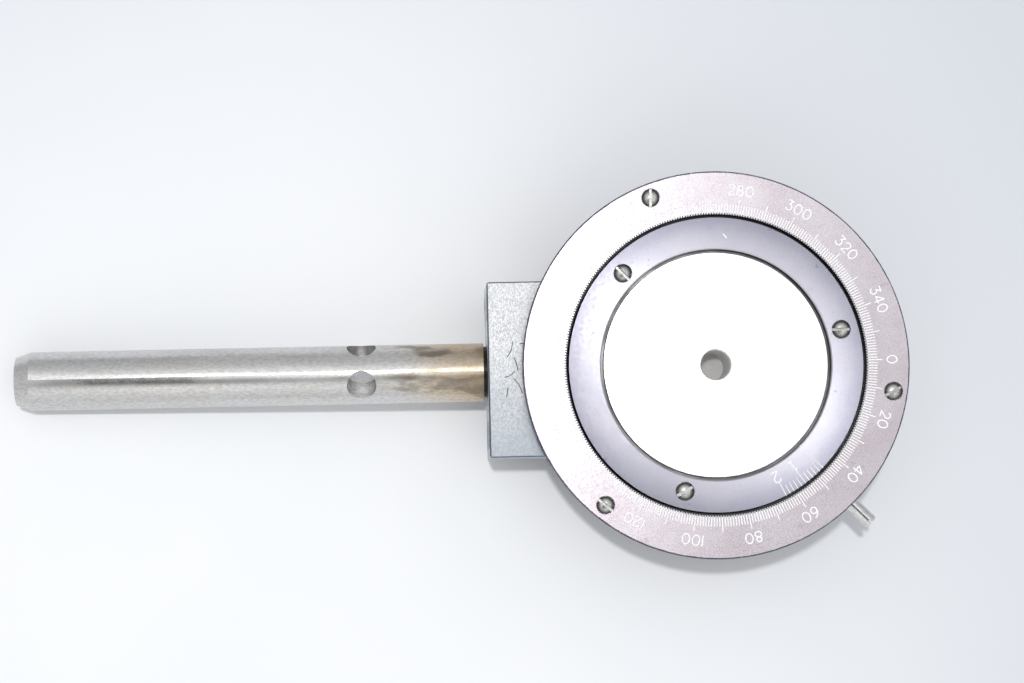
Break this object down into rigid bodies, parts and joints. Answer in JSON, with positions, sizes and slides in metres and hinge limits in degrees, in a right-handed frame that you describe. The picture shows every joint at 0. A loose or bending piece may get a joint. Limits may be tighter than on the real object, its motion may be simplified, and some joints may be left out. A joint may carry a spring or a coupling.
{
  "type": "rotary table",
  "caption": "Small graduated rotary table whose disc and vernier ring turn inside a fixed degree dial, on a block with a round side shank.",
  "frame": {"origin": "centre of the turning disc's top face, on the rotation axis", "axes": "+Z along the rotation axis and out of the table face; -X along the shank, away from the head; +Y completes the frame, and the lock screw points towards +X -Y"},
  "size_m": [0.2396, 0.1036, 0.0398],
  "materials": {
    "disc_steel": "ground and lapped bright steel",
    "dial_steel": "worn oxide bluing gone mauve grey, with white filled graduations",
    "vernier_steel": "worn oxide bluing, blue grey, with white filled graduations",
    "screw_steel": "bright domed heads with dark sides",
    "shank_steel": "centreless ground, straw heat tint near the block",
    "block_steel": "surface ground",
    "housing_steel": "turned and blued",
    "spindle_steel": "turned",
    "bearing_steel": "hardened and polished",
    "spring_steel": "blued spring steel",
    "nut_steel": "turned and blued, milled grips",
    "black_screw": "black oxide",
    "bronze": "turned bronze",
    "pin_steel": "polished drill rod"
  },
  "bodies": {
    "housing": {"housing": "housing_steel", "spindle_bush": "bronze", "lower_race": "bearing_steel", "dial_ring": "dial_steel", "dial_screws": "screw_steel", "mounting_block": "block_steel", "block_screws": "black_screw", "block_dowels": "bearing_steel", "shank": "shank_steel", "shank_set_screws": "black_screw"},
    "table": {"table_disc": "disc_steel", "disc_screws": "black_screw", "spindle": "spindle_steel", "vernier_ring": "vernier_steel", "vernier_screws": "screw_steel", "upper_race": "bearing_steel", "thrust_washer": "bronze", "spring_washer": "spring_steel", "spindle_nut": "nut_steel", "nut_lock_screw": "black_screw"},
    "cage": {"ball_cage": "bronze", "bearing_balls": "bearing_steel"},
    "lock_shoe": {"lock_shoe": "bronze"},
    "lock_screw": {"lock_screw": "pin_steel"}
  },
  "joints": [
    {"name": "table_spin", "type": "hinge", "parent": "housing", "child": "table", "pos_m": [0, 0, 0], "axis": [0, 0, 1], "continuous": true},
    {"name": "cage_roll", "type": "hinge", "parent": "housing", "child": "cage", "pos_m": [0, 0, 0], "axis": [0, 0, 1], "continuous": true},
    {"name": "lock_travel", "type": "slide", "parent": "housing", "child": "lock_shoe", "axis": [0.7071, -0.7071, 0], "range_m": [0, 0.00039687]},
    {"name": "lock_turn", "type": "hinge", "parent": "lock_shoe", "child": "lock_screw", "pos_m": [0.03536, -0.03536, -0.015], "axis": [0.7071, -0.7071, 0], "range_deg": [0, 180]}
  ],
  "couplings": [
    {"joint": "cage_roll", "follows": "table_spin", "ratio": 0.5},
    {"joint": "lock_turn", "follows": "lock_travel", "rad_per_m": 7915.8}
  ]
}
